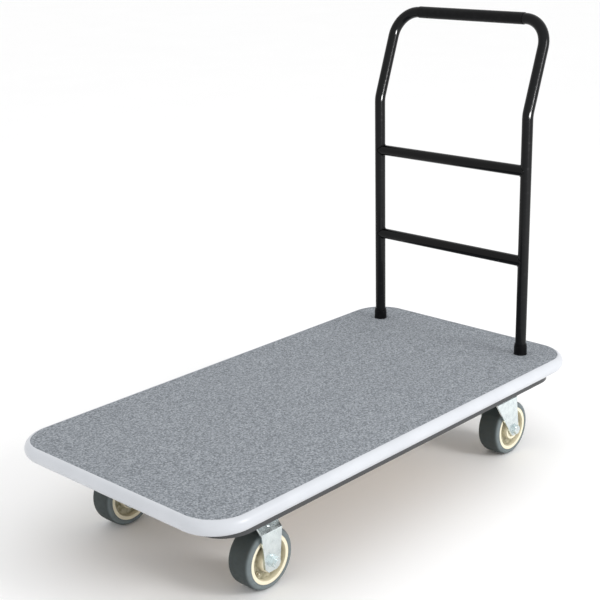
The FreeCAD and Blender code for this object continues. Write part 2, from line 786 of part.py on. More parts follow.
def make_plate(caster_x, side, swivels):
    plate = rounded_slab(PLATE_LENGTH / 2, PLATE_WIDTH / 2, PLATE_CORNER, plate_under_z, plate_top_z)
    if swivels:
        boss = cylinder_z(RACE_BOSS_DIAMETER / 2, race_boss_z, plate_under_z)
        pin_hole = cylinder_z(KINGPIN_DIAMETER / 2, race_boss_z, plate_top_z)
        countersink = Part.makeCone(
            KINGPIN_DIAMETER / 2,
            KINGPIN_TOP_DIAMETER / 2,
            KINGPIN_TOP_HEIGHT,
            vec(0, 0, plate_top_z - KINGPIN_TOP_HEIGHT),
        )
        plate = plate.fuse(boss).removeSplitter().cut([pin_hole, countersink, race_groove()])
    plate.translate(vec(caster_x, side * caster_y, 0))
    return plate.cut(plate_holes(caster_x, side, plate_under_z, plate_top_z))


# ---------------------------------------------------------------- handle


def tube_run(start, end):
    """Straight length of the handle's tube."""
    length = (end - start).Length
    direction = end - start
    outer = Part.makeCylinder(tube_radius, length, start, direction)
    return outer.cut(Part.makeCylinder(tube_radius - TUBE_WALL, length, start, direction))


def tube_bend(start, direction, centre, turn_axis, angle):
    """Bend of the handle's tube, turned about turn_axis through centre."""
    rings = [
        Part.Wire(Part.makeCircle(radius, start, direction))
        for radius in (tube_radius, tube_radius - TUBE_WALL)
    ]
    outer = Part.Face(rings[0]).revolve(centre, turn_axis, angle)
    return outer.cut(Part.Face(rings[1]).revolve(centre, turn_axis, angle))


def make_handle_tube():
    """One bent tube: two posts, a knee in each, sloping sides and the grip across the top."""
    angle = math.radians(KNEE_ANGLE)
    lean = vec(math.sin(angle), 0, math.cos(angle))
    tangent = KNEE_RADIUS * math.tan(angle / 2)
    knee_z = deck_top_z + KNEE_HEIGHT
    foot = vec(handle_x, post_y, post_foot_z)
    knee_start = vec(handle_x, post_y, knee_z - tangent)
    knee_end = vec(handle_x, post_y, knee_z) + lean * tangent
    slope_end = vec(handle_x, post_y, knee_z) + lean * (SLOPE_LENGTH - TOP_CORNER_RADIUS)
    corner_centre = slope_end - ALONG_Y * TOP_CORNER_RADIUS
    grip_start = corner_centre + lean * TOP_CORNER_RADIUS
    half = [
        tube_run(foot, knee_start),
        tube_bend(
            knee_start, UP, knee_start + ALONG_X * KNEE_RADIUS, ALONG_Y, KNEE_ANGLE
        ),
        tube_run(knee_end, slope_end),
        tube_bend(slope_end, lean, corner_centre, lean.cross(ALONG_Y) * -1, QUARTER_TURN),
    ]
    grip_end = vec(grip_start.x, -grip_start.y, grip_start.z)
    other = [piece.mirror(vec(0, 0, 0), ALONG_Y) for piece in half]
    return half[0].fuse(half[1:] + [tube_run(grip_start, grip_end)] + other).removeSplitter()


def make_grip_sleeve():
    """Thin sleeve shrunk on the straight of the grip, just short of the bends."""
    angle = math.radians(KNEE_ANGLE)
    grip_x = handle_x + SLOPE_LENGTH * math.sin(angle)
    grip_z = deck_top_z + KNEE_HEIGHT + SLOPE_LENGTH * math.cos(angle)
    reach = post_y - TOP_CORNER_RADIUS - GRIP_SLEEVE_SHORT_OF_BEND
    outer = cylinder_y(tube_radius + GRIP_SLEEVE_WALL, -reach, reach, grip_x, grip_z)
    return outer.cut(cylinder_y(tube_radius, -reach, reach, grip_x, grip_z))


def make_crossbar(height):
    """Bar between the posts, its ends coped to fit round them."""
    bar_z = deck_top_z + height
    bar = tube_run(vec(handle_x, -post_y, bar_z), vec(handle_x, post_y, bar_z))
    posts = [
        cylinder_z(tube_radius, bar_z - TUBE_DIAMETER, bar_z + TUBE_DIAMETER, handle_x, side * post_y)
        for _, side in SIDES
    ]
    return largest_solid(bar.cut(posts))


def make_end_plugs():
    plugs = []
    for _, side in SIDES:
        flange = cylinder_z(tube_radius, post_foot_z - PLUG_FLANGE, post_foot_z, handle_x, side * post_y)
        spigot = cylinder_z(
            tube_radius - TUBE_WALL, post_foot_z, post_foot_z + PLUG_LENGTH, handle_x, side * post_y
        )
        plugs.append(flange.fuse(spigot).removeSplitter())
    return Part.Compound(plugs)


def make_socket(side):
    """Tube through the handle crossmember, closed at its foot, that a post drops into."""
    y = side * post_y
    floor_z = post_foot_z - PLUG_FLANGE
    outer = cylinder_z(socket_radius, floor_z - SOCKET_BASE, board_under_z, handle_x, y)
    return outer.cut(cylinder_z(tube_radius + POST_PLAY, floor_z, board_under_z, handle_x, y))


def make_collar(side):
    """Sleeve round the post where it enters the deck: a spigot in the board and a stepped top."""
    y = side * post_y
    step_z = deck_top_z + COLLAR_HEIGHT - COLLAR_STEP_HEIGHT
    spigot = cylinder_z(spigot_radius, board_under_z, board_top_z, handle_x, y)
    body = cylinder_z(collar_radius, board_top_z, step_z, handle_x, y)
    top = cylinder_z(collar_radius - COLLAR_STEP, step_z, deck_top_z + COLLAR_HEIGHT, handle_x, y)
    bore = cylinder_z(
        tube_radius + POST_PLAY, board_under_z, deck_top_z + COLLAR_HEIGHT, handle_x, y
    )
    return spigot.fuse([body, top]).removeSplitter().cut(bore)


# ---------------------------------------------------------------- build every node


def build_deck_and_frame():
    save("deck_carpet", make_carpet())
    save("deck_board", make_board())
    save("edge_bumper", make_bumper())
    save("deck_screws", make_screws())
    rim = make_rim()
    save("frame_rim", rim)
    save("caster_crossmember_front", make_caster_crossmember(rigid_caster_x, rim))
    save("caster_crossmember_rear", make_caster_crossmember(swivel_caster_x, rim))
    save("middle_crossmember", lipped_channel(0, SLIM_CROSS_WIDTH, RIM_DEPTH, 0, rim))
    save("handle_crossmember", make_handle_crossmember(rim))


def build_handle():
    save("handle_tube", make_handle_tube())
    save("handle_crossbar_lower", make_crossbar(LOWER_BAR_HEIGHT))
    save("handle_crossbar_upper", make_crossbar(UPPER_BAR_HEIGHT))
    save("handle_end_plugs", make_end_plugs())
    save("handle_grip_sleeve", make_grip_sleeve())
    for word, side in SIDES:
        save("handle_socket_" + word, make_socket(side))
        save("handle_collar_" + word, make_collar(side))


def build_wheel(place, x, side, nut_side, nipple_angle):
    y = side * caster_y
    save("tyre_" + place, make_tyre(x, y))
    save("wheel_hub_" + place, make_hub(x, y))
    save("wheel_bush_" + place, make_bush(x, y))
    save("grease_nipple_" + place, make_nipple(x, y, side, nipple_angle))
    save("axle_sleeve_" + place, make_sleeve(x, y))
    save("axle_bolt_" + place, make_axle_bolt(x, y, nut_side))
    save("axle_nut_" + place, make_axle_nut(x, y, nut_side))


def build_casters():
    bolts, nuts = make_plate_bolts()
    save("caster_bolts", bolts)
    save("caster_nuts", nuts)
    for word, side in SIDES:
        save("rigid_plate_" + word, make_plate(rigid_caster_x, side, False))
        save("rigid_fork_" + word, make_rigid_fork(side))
        build_wheel("front_" + word, rigid_caster_x, side, side, FRONT_NIPPLE_ANGLE)
        save("swivel_plate_" + word, make_plate(swivel_caster_x, side, True))
        save("swivel_fork_" + word, make_swivel_fork(side))
        save("swivel_balls_" + word, make_balls(side))
        save("kingpin_" + word, make_kingpin(side))
        build_wheel("rear_" + word, swivel_axle_x, side, -side, REAR_NIPPLE_ANGLE)


os.makedirs("parts", exist_ok=True)
build_deck_and_frame()
build_handle()
build_casters()
print("deck top at", round(deck_top_z, 1), "and carpet", 2 * board_half_length, "by", 2 * board_half_width)
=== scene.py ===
import json
import math
import bmesh
import bpy
import numpy as np
from mathutils import Matrix, Quaternion, Vector


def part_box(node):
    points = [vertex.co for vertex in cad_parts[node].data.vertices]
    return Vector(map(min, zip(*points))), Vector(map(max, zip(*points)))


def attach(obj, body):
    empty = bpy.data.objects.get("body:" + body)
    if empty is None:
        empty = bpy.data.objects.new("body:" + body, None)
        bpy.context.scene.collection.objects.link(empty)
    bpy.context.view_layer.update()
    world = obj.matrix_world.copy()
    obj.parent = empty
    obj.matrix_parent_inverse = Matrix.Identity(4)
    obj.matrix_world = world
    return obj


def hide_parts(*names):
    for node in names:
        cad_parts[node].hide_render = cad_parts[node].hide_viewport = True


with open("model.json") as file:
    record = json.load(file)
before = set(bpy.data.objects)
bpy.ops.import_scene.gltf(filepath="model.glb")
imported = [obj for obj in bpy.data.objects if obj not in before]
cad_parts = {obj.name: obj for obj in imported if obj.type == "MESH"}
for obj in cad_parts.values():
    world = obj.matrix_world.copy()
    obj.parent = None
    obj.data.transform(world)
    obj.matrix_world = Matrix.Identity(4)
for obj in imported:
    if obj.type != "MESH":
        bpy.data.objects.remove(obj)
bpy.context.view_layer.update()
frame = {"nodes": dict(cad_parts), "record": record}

scene = bpy.context.scene
body_of = {node: body for body, nodes in frame["record"]["behaviour"]["bodies"].items()
           for node in nodes}
slot_of = {part["node"]: part["material_slot"] for part in frame["record"]["subparts"]}

# %% [markdown]
# ## Camera
# A long lens stands off the corner away from the handle, about a metre above the deck. It looks
# across the cart at 43 degrees to its length and 18 degrees down. A long lens keeps the far end
# nearly as large as the near one. The view could be framed by turning the camera, but a tiny shift
# leaves its direction alone.
# %% Camera
yaw, pitch, roll = math.radians(43.222), math.radians(-17.602), math.radians(1.291)
ahead = Vector((math.cos(pitch) * math.cos(yaw), math.cos(pitch) * math.sin(yaw), math.sin(pitch)))
camera = bpy.data.objects.new("camera", bpy.data.cameras.new("camera"))
scene.collection.objects.link(camera)
camera.data.sensor_width, camera.data.lens = 36, 77.285
camera.data.shift_x, camera.data.shift_y = -0.00215, -0.00815
camera.location = (-1.91370, -1.77043, 1.27728)
camera.rotation_mode = "QUATERNION"
camera.rotation_quaternion = ahead.to_track_quat("-Z", "Y") @ Quaternion((0, 0, 1), -roll)
scene.camera = camera
scene.view_settings.view_transform = "Standard"
print("camera", camera.location[:])

# %% [markdown]
# ## Light
# A white room with one big soft lamp to the right of the camera, so that the long side of the cart
# is bright and its short end is a little darker. Black paint only shows light as a mirror of
# something bright, so a wide panel stands where the leaning part of the handle mirrors it. It
# lights the bent tube alone, by light linking. It would wash out the plated forks, and seen from behind it
# would make the crossbars look like chrome.
# %% Light
world = bpy.data.worlds.new("white_room")
scene.world = world
world.use_nodes = True
world.node_tree.nodes["Background"].inputs["Color"].default_value = (1, 1, 1, 1)
world.node_tree.nodes["Background"].inputs["Strength"].default_value = 1.05


def soft_lamp(name, place, aim, size, power):
    lamp = bpy.data.objects.new(name, bpy.data.lights.new(name, "AREA"))
    lamp.data.shape, lamp.data.size, lamp.data.energy = "SQUARE", size, power
    lamp.location = place
    lamp.rotation_mode = "QUATERNION"
    lamp.rotation_quaternion = (Vector(aim) - lamp.location).to_track_quat("-Z", "Y")
    scene.collection.objects.link(lamp)
    print(name, power, "W")
    return lamp


soft_lamp("key_lamp", place=(0.9, -3.4, 1.9), aim=(0, 0, 0.3), size=1.2, power=62)
slope_lamp = soft_lamp("slope_lamp", place=(-0.35, -3.6, 0.95), aim=(0.52, 0, 0.88),
                       size=1.7, power=520)
slope_lamp.data.shape, slope_lamp.data.size_y = "RECTANGLE", 0.8

# %% [markdown]
# ## Tools for finishes
# Each finish is a Principled shader with its own colour, roughness and bump patterns. They all read
# Object coordinates, which are metres on the cart itself, so a scale of 400 is a pattern of about
# 2.5 mm. These short helpers add a node and join it up, so a finish reads as a list of what it has.
# %% Tools for finishes
def add(finish, kind, settings=(), **values):
    made = finish.node_tree.nodes.new("ShaderNode" + kind)
    for key, value in dict(settings).items():
        setattr(made, key, value)
    for key, value in values.items():
        socket = made.inputs[key.replace("_", " ")]
        if isinstance(value, bpy.types.NodeSocket):
            finish.node_tree.links.new(value, socket)
        else:
            socket.default_value = value
    return made


def new_finish(name, metallic=0.0, **constants):
    finish = bpy.data.materials.new(name)
    finish.use_nodes = True
    shader = finish.node_tree.nodes["Principled BSDF"]
    shader.inputs["Metallic"].default_value = metallic
    for key, value in constants.items():
        shader.inputs[key.replace("_", " ")].default_value = value
    return finish


def grain(finish, size, detail=3.0, stretch=(1, 1, 1), distort=0.0):
    """A noise whose blotches are about size metres across."""
    place = add(finish, "TexCoord").outputs["Object"]
    place = add(finish, "Mapping", Vector=place, Scale=stretch).outputs["Vector"]
    return add(finish, "TexNoise", Vector=place, Scale=1 / size, Detail=detail,
               Distortion=distort).outputs[0]


def dots(finish, size):
    """Distance to the nearest of many scattered points, size metres apart."""
    place = add(finish, "TexCoord").outputs["Object"]
    return add(finish, "TexVoronoi", Vector=place, Scale=1 / size).outputs["Distance"]


def graded(finish, pattern, low, high, bottom=0.0, top=1.0):
    """The pattern from low to high, made to run from bottom to top."""
    made = add(finish, "MapRange", Value=pattern)
    for key, value in (("From Min", low), ("From Max", high), ("To Min", bottom), ("To Max", top)):
        made.inputs[key].default_value = value
    return made.outputs[0]


def share(finish, pattern, most):
    """A pattern that runs from 0 to 1, made to run from 0 to most."""
    return graded(finish, pattern, 0, 1, 0, most)


def blend_colour(finish, amount, first, second):
    """The first colour where the amount is 0, and the second where it is 1."""
    made = finish.node_tree.nodes.new("ShaderNodeMix")
    made.data_type = "RGBA"
    for index, value in ((0, amount), (6, first), (7, second)):
        if isinstance(value, bpy.types.NodeSocket):
            finish.node_tree.links.new(value, made.inputs[index])
        else:
            made.inputs[index].default_value = value if index == 0 else (*value, 1.0)
    return made.outputs[2]


def bumps(finish, height, strength, depth, under=None):
    """A bump of the height, depth metres high at most, on top of the bump under it."""
    made = add(finish, "Bump", Height=height, Strength=strength, Distance=depth)
    if under is not None:
        finish.node_tree.links.new(under, made.inputs["Normal"])
    return made.outputs["Normal"]


def wire(finish, **sockets):
    """Joins patterns to the sockets of the finish that vary over the surface."""
    shader = finish.node_tree.nodes["Principled BSDF"]
    for key, socket in sockets.items():
        finish.node_tree.links.new(socket, shader.inputs[key.replace("_", " ")])
    print("finish", finish.name, len(finish.node_tree.nodes), "nodes")


finishes = {}

# %% [markdown]
# ## Felt
# The deck is covered in needled felt: short fibres of several greys pressed into a mat, so it looks
# like heather close to and mottled further off. Real hairs all over would be far too many. Two
# sizes of noise give the blotches and the fibres, scattered dots give the pale flecks, and a faint sheen
# lifts it at a glancing angle, as fuzz does.
# %% Felt
felt = new_finish("felt", Sheen_Weight=0.08, Sheen_Roughness=0.6, Specular_IOR_Level=0.15)
blotch = graded(felt, grain(felt, 0.045, detail=4.0), 0.35, 0.65)
fibre = graded(felt, grain(felt, 0.0042, detail=8.0, distort=0.5), 0.38, 0.62)
fleck = graded(felt, dots(felt, 0.0058), 0.12, 0.36, bottom=1.0, top=0.0)
greys = blend_colour(felt, fibre, (0.130, 0.146, 0.164), (0.312, 0.336, 0.366))
greys = blend_colour(felt, share(felt, blotch, 0.18), greys, (0.150, 0.166, 0.186))
greys = blend_colour(felt, share(felt, fleck, 0.55), greys, (0.50, 0.52, 0.55))
fuzz = bumps(felt, fibre, strength=0.8, depth=0.0006)
wire(felt, Base_Color=greys, Roughness=graded(felt, fibre, 0, 1, 0.85, 1.0),
     Normal=bumps(felt, grain(felt, 0.012), strength=0.35, depth=0.0015, under=fuzz))
finishes["carpet"] = felt

# %% [markdown]
# ## Bumper vinyl
# Extruded vinyl is smooth with faint lines along its length, and picks up grey scuffs where boxes
# and door frames rub it. Scuffs could be painted on one by one, but a stretched noise cut off high
# gives a few of them in no order.
# %% Bumper vinyl
vinyl = new_finish("bumper_vinyl", Coat_Weight=0.08, Coat_Roughness=0.25)
scuff = graded(vinyl, grain(vinyl, 0.020, detail=6.0, stretch=(1, 1, 5), distort=0.6), 0.60, 0.74)
cloud = graded(vinyl, grain(vinyl, 0.090, detail=2.0), 0.30, 0.70)
pale = blend_colour(vinyl, cloud, (0.535, 0.555, 0.590), (0.585, 0.605, 0.640))
scuffed = blend_colour(vinyl, share(vinyl, scuff, 0.35), pale, (0.50, 0.51, 0.53))
lines = grain(vinyl, 0.0012, detail=2.0, stretch=(1, 1, 3))
wire(vinyl, Base_Color=scuffed, Roughness=graded(vinyl, scuff, 0, 1, 0.34, 0.62),
     Normal=bumps(vinyl, lines, strength=0.12, depth=0.0002))
finishes["bumper_vinyl"] = vinyl

# %% [markdown]
# ## Powder coat and gloss paint
# The frame is powder coated, which sets with a fine orange peel, and it holds dust in patches. The
# handle is sprayed gloss black: a dark base under a thin clear coat, with a very slight peel that
# makes the streaks of light waver, and a few fine rubs. The peel could be modelled, but it is finer
# than any face, so it is a bump.
# %% Powder coat
powder = new_finish("frame_powder_coat")
peel = grain(powder, 0.0016, detail=2.0)
dust = graded(powder, grain(powder, 0.040, detail=5.0), 0.48, 0.72)
dusted = blend_colour(powder, share(powder, dust, 0.4),
                      (0.040, 0.042, 0.045), (0.085, 0.083, 0.079))
wire(powder, Base_Color=dusted, Roughness=graded(powder, dust, 0, 1, 0.42, 0.70),
     Normal=bumps(powder, peel, strength=0.30, depth=0.0003))
finishes["frame_paint"] = powder
# %% Gloss paint
gloss = new_finish("handle_gloss_black", Coat_Weight=0.05, Coat_Roughness=0.08,
                   Specular_IOR_Level=0.13)
rub = graded(gloss, grain(gloss, 0.018, detail=7.0, stretch=(1, 1, 4), distort=0.8), 0.58, 0.76)
rubbed = blend_colour(gloss, share(gloss, rub, 0.30),
                      (0.0018, 0.0019, 0.0021), (0.009, 0.009, 0.0095))
wire(gloss, Base_Color=rubbed, Roughness=graded(gloss, rub, 0, 1, 0.15, 0.26),
     Normal=bumps(gloss, grain(gloss, 0.0060, detail=1.0), strength=0.03, depth=0.0002))
finishes["handle_paint"] = gloss

# %% [markdown]
# ## Black moulded plastic
# The collars, plugs and grip sleeve are moulded with a fine grain that breaks up the light. The
# grain is about a millimetre across, so it is a bump of scattered dots and not modelled.
# %% Black moulded plastic
moulded = new_finish("black_moulded_plastic", Specular_IOR_Level=0.12)
pebble = dots(moulded, 0.0011)
worn = graded(moulded, grain(moulded, 0.012, detail=5.0), 0.50, 0.75)
blacks = blend_colour(moulded, worn, (0.0025, 0.0025, 0.003), (0.008, 0.008, 0.009))
wire(moulded, Base_Color=blacks, Roughness=graded(moulded, worn, 0, 1, 0.40, 0.58),
     Normal=bumps(moulded, pebble, strength=0.25, depth=0.0002))
finishes["black_plastic"] = moulded

# %% [markdown]
# ## Tyre rubber
# Grey rubber that doesn't mark floors. Its tread is painted darker and its sidewall paler: partly wear
# where it rolls, and partly painted shade, because the tread faces away from the lamp. The dark band could
# be found from a point's height, but that is right only for a wheel that stands where this one does.
# Instead each point of the tyre carries a number, 0 on its side and 1 on its tread, which every copy
# keeps.
# %% Tyre rubber
rubber = new_finish("tyre_rubber", Specular_IOR_Level=0.3)
# The tread band is painted darker: partly wear, partly painted shade on the side away from the lamp.
tread_wear_and_shade = add(rubber, "Attribute", {"attribute_name": "tread"}).outputs["Fac"]
grime = graded(rubber, grain(rubber, 0.010, detail=6.0), 0.42, 0.70)
wear_and_shade_grey = blend_colour(rubber, tread_wear_and_shade, (0.165, 0.196, 0.204), (0.048, 0.060, 0.060))
grimy = blend_colour(rubber, share(rubber, grime, 0.20), wear_and_shade_grey, (0.085, 0.085, 0.080))
wire(rubber, Base_Color=grimy, Roughness=graded(rubber, grime, 0, 1, 0.62, 0.88),
     Normal=bumps(rubber, grain(rubber, 0.0020, detail=4.0), strength=0.35, depth=0.0004))
finishes["tyre_rubber"] = rubber

# %% [markdown]
# ## Hub plastic and bush nylon
# The hub is cream moulded plastic. Its recess lies in shade, so the hub carries a number for how deep each
# point lies, and the finish paints that shade in, darkening towards olive with it. The bush inside it is
# plain nylon, which varies only a little.
# %% Hub plastic
cream = new_finish("hub_cream_plastic", Specular_IOR_Level=0.45)
deep = add(cream, "Attribute", {"attribute_name": "hollow"}).outputs["Fac"]
# The recess is painted darker with depth as painted shade, mottled a little by noise.
shade_mottle = graded(cream, grain(cream, 0.008, detail=5.0), 0.35, 0.70, bottom=0.55, top=1.0)
recess_shade = add(cream, "Math", {"operation": "MULTIPLY"})
cream.node_tree.links.new(deep, recess_shade.inputs[0])
cream.node_tree.links.new(shade_mottle, recess_shade.inputs[1])
shaded_cream = blend_colour(cream, recess_shade.outputs[0], (0.84, 0.775, 0.590), (0.235, 0.218, 0.140))
wire(cream, Base_Color=shaded_cream, Roughness=graded(cream, recess_shade.outputs[0], 0, 1, 0.38, 0.68),
     Normal=bumps(cream, grain(cream, 0.0018, detail=2.0), strength=0.15, depth=0.0003))
finishes["hub_plastic"] = cream
# %% Bush nylon
nylon = new_finish("bush_nylon")
milky = blend_colour(nylon, grain(nylon, 0.004), (0.70, 0.69, 0.64), (0.80, 0.79, 0.75))
wire(nylon, Base_Color=milky, Roughness=graded(nylon, grain(nylon, 0.002), 0.3, 0.7, 0.35, 0.50),
     Normal=bumps(nylon, grain(nylon, 0.0008, detail=2.0), strength=0.1, depth=0.0001))
finishes["bush_plastic"] = nylon

# %% [markdown]
# ## Metals
# Zinc plate is bright with a faint cloudy mottle and fine rubbing lines. The pins and sleeves are turned
# steel, so their lines are tighter, and brass is duller. Each could have its own recipe, but they differ
# only in numbers, so one function makes them all. Roughness does most of the work, because a metal has
# little colour of its own. The caster plates under the deck are the same zinc made rougher and painted
# darker, as painted shade for the dark under the deck, and the forks mirror them.
# %% Metals
def metal(name, slot, bright, dull, smooth, rough, line):
    """Bright and dull are colours, smooth and rough their roughness, and line is in metres."""
    finish = new_finish(name, metallic=1.0)
    mottle = graded(finish, grain(finish, 0.014, detail=5.0), 0.34, 0.68)
    rubbing = grain(finish, line, stretch=(1, 1, 6))
    wire(finish, Base_Color=blend_colour(finish, mottle, bright, dull),
         Roughness=graded(finish, mottle, 0, 1, smooth, rough),
         Normal=bumps(finish, rubbing, strength=0.12, depth=0.0002))
    finishes[slot] = finish


metal("zinc_plate", "zinc_steel", bright=(0.80, 0.865, 0.870), dull=(0.64, 0.705, 0.715),
      smooth=0.16, rough=0.30, line=0.0015)
# This copy of the zinc is painted darker as shade for the dark under the deck, and is rougher.
metal("shaded_zinc_plate", "shaded_zinc", bright=(0.40, 0.43, 0.44), dull=(0.25, 0.27, 0.275),
      smooth=0.42, rough=0.62, line=0.0015)
metal("turned_steel", "bright_steel", bright=(0.66, 0.66, 0.67), dull=(0.52, 0.52, 0.52),
      smooth=0.20, rough=0.34, line=0.0006)
metal("nipple_brass", "nipple_brass", bright=(0.66, 0.62, 0.50), dull=(0.46, 0.42, 0.33),
      smooth=0.26, rough=0.42, line=0.0008)

# %% [markdown]
# ## Plywood
# Only the underside of the board shows. Its grain runs along the cart, so a noise squeezed across
# it is enough, with no need to model the veneers.
# %% Plywood
ply = new_finish("plywood")
streak = graded(ply, grain(ply, 0.030, detail=8.0, stretch=(1, 12, 12), distort=0.5), 0.30, 0.70)
wire(ply, Base_Color=blend_colour(ply, streak, (0.40, 0.27, 0.15), (0.66, 0.50, 0.32)),
     Roughness=graded(ply, streak, 0, 1, 0.55, 0.78),
     Normal=bumps(ply, streak, strength=0.30, depth=0.0004))
finishes["plywood"] = ply

# %% [markdown]
# ## Floor
# A plain pale floor, which isn't part of the cart. A backdrop curved up behind it would hide the horizon,
# but the white room does that already.
# %% Floor
bpy.ops.object.select_all(action="DESELECT")
bpy.ops.mesh.primitive_plane_add(size=30)
floor = bpy.context.object
floor.name = "studio_floor"
paper = new_finish("studio_paper", Specular_IOR_Level=0.1)
whites = blend_colour(paper, grain(paper, 0.5, detail=2.0), (0.93, 0.93, 0.93), (0.95, 0.95, 0.95))
wire(paper, Base_Color=whites,
     Roughness=graded(paper, grain(paper, 0.05, detail=2.0), 0, 1, 0.75, 0.85))
floor.data.materials.append(paper)

# %% [markdown]
# ## Finishes on the imported parts
# Every imported part gets the finish of its slot, the hidden ones too, because a missing finish would show
# as soon as a part moved. The caster plates take the darker zinc, which is painted shade.
# %% Finishes on the imported parts
def finish_of(node):
    # The plates take the darker zinc copy: painted shade.
    return finishes["shaded_zinc" if "_plate_" in node else slot_of[node]]


for node, part in frame["nodes"].items():
    part.data.materials.clear()
    part.data.materials.append(finish_of(node))
print("painted", len(frame["nodes"]))

# %% [markdown]
# ## Tools for modelling
# An operator works on whatever is selected, so each step first selects nothing, and then picks
# faces or edges by where they are. `settle` puts a finished piece in its place for good: its object
# at the origin, with the place in its mesh. Smooth shading would bend the light across a flat face
# next to a small bevel, so normals are weighted by area, which keeps flat faces flat.
# %% Tools for modelling
def only(thing):
    """Leaves edit mode and selects this object alone."""
    if bpy.context.object and bpy.context.object.mode != "OBJECT":
        bpy.ops.object.mode_set(mode="OBJECT")
    bpy.ops.object.select_all(action="DESELECT")
    thing.select_set(True)
    bpy.context.view_layer.objects.active = thing


def pick(thing, faces=None, edges=None, verts=None):
    """In edit mode, selects the faces, edges or vertices that pass a test of their place."""
    mode = "FACE" if faces else "EDGE" if edges else "VERT"
    bpy.ops.mesh.select_mode(type=mode)
    bpy.ops.mesh.select_all(action="DESELECT")
    shape = bmesh.from_edit_mesh(thing.data)
    shape.normal_update()
    if faces:
        group = [face for face in shape.faces if faces(face.calc_center_median(), face.normal)]
    elif edges:
        group = [edge for edge in shape.edges if edges(edge.verts[0].co, edge.verts[1].co)]
    else:
        group = [vert for vert in shape.verts if verts(vert.co)]
    for item in group:
        item.select_set(True)
    shape.select_flush_mode()
    bmesh.update_edit_mesh(thing.data)


def apply_modifier(thing, kind, **settings):
    only(thing)
    modifier = thing.modifiers.new(kind.lower(), kind)
    for key, value in settings.items():
        setattr(modifier, key, value)
    bpy.ops.object.modifier_apply(modifier=modifier.name)


def settle(thing, name, body, slot, *nodes, angle=35):
    """Finishes a piece that rides on the body and stands for the nodes, if any are given."""
    only(thing)
    bpy.ops.object.transform_apply(location=True, rotation=True, scale=True)
    bpy.ops.object.shade_smooth_by_angle(angle=math.radians(angle))
    apply_modifier(thing, "WEIGHTED_NORMAL", keep_sharp=True, weight=80)
    thing.name = thing.data.name = name
    thing.data.materials.clear()
    thing.data.materials.append(finishes[slot])
    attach(thing, body)
    if nodes:
        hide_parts(*nodes)
    print(name, len(thing.data.polygons), "faces on", body)
    return thing


def own_copy(thing, shift):
    """A copy with a mesh of its own, moved by the shift."""
    made = thing.copy()
    made.data = thing.data.copy()
    scene.collection.objects.link(made)
    made.data.transform(Matrix.Translation(Vector(shift)))
    return made

# %% [markdown]
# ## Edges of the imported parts
# A real edge is never perfectly sharp: the small rounding catches a line of light. The packed
# shapes are right but for that, so the forks, the plates, the frame and the collars aren't modelled
# again. Each is copied, its loose triangles are merged into one skin, and its sharp edges are
# bevelled.
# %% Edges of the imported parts
def edged(node, width):
    """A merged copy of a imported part, its sharp edges bevelled if width isn't 0."""
    source = frame["nodes"][node]
    made = bpy.data.objects.new(node + "_edged", source.data.copy())
    scene.collection.objects.link(made)
    only(made)
    bpy.ops.mesh.customdata_custom_splitnormals_clear()
    bpy.ops.object.mode_set(mode="EDIT")
    bpy.ops.mesh.select_all(action="SELECT")
    bpy.ops.mesh.remove_doubles(threshold=0.000005)
    bpy.ops.mesh.dissolve_limited(angle_limit=math.radians(0.5))
    bpy.ops.object.mode_set(mode="OBJECT")
    if width:
        apply_modifier(made, "BEVEL", width=width, segments=2, limit_method="ANGLE",
                       angle_limit=math.radians(40), use_clamp_overlap=True)
    return made


fork_edge, plate_edge, frame_edge = 0.0006, 0.0005, 0.0007
for side in ("left", "right"):
    for start, width in (("rigid_fork_", fork_edge), ("rigid_plate_", plate_edge),
                         ("swivel_fork_", fork_edge), ("handle_collar_", plate_edge)):
        node = start + side
        made = settle(edged(node, width), node + "_edged", body_of[node], slot_of[node], node)
        made.data.materials[0] = finish_of(node)
for node in ("frame_rim", "caster_crossmember_front", "handle_crossmember",
             "caster_crossmember_rear", "middle_crossmember"):
    settle(edged(node, frame_edge), node + "_edged", "deck", slot_of[node], node)

# %% [markdown]
# ## Carpet
# The felt is glued flat to the board, so it isn't a loose sheet, and cloth simulation would have
# nothing to do. A slab is given round corners by bevelling its four upright edges, and its top
# edge is softened. It is then cut into a fine net with bisect, so that a displacement can make its
# top slightly uneven, and bored for the two collars.
# %% Carpet slab
low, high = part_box("deck_carpet")
middle, size = (low + high) / 2, high - low
corner, soft_edge, hair = 0.076, 0.0012, 0.00001
bpy.ops.object.select_all(action="DESELECT")
bpy.ops.mesh.primitive_cube_add(size=1, location=middle, scale=size)
carpet = bpy.context.object
only(carpet)
bpy.ops.object.transform_apply(location=True, rotation=True, scale=True)
bpy.ops.object.mode_set(mode="EDIT")
pick(carpet, edges=lambda a, b: abs(a.z - b.z) > size.z / 2)
bpy.ops.mesh.bevel(offset=corner, segments=24)
pick(carpet, edges=lambda a, b: min(a.z, b.z) > high.z - hair)
bpy.ops.mesh.bevel(offset=soft_edge, segments=3)
for axis, cuts in ((0, 96), (1, 50)):
    for step in range(1, cuts):
        at = Vector(middle)
        at[axis] = low[axis] + size[axis] * step / cuts
        bpy.ops.mesh.select_all(action="SELECT")
        bpy.ops.mesh.bisect(plane_co=at, plane_no=[float(axis == 0), float(axis == 1), 0])
bpy.ops.object.mode_set(mode="OBJECT")
print("carpet net", len(carpet.data.polygons))
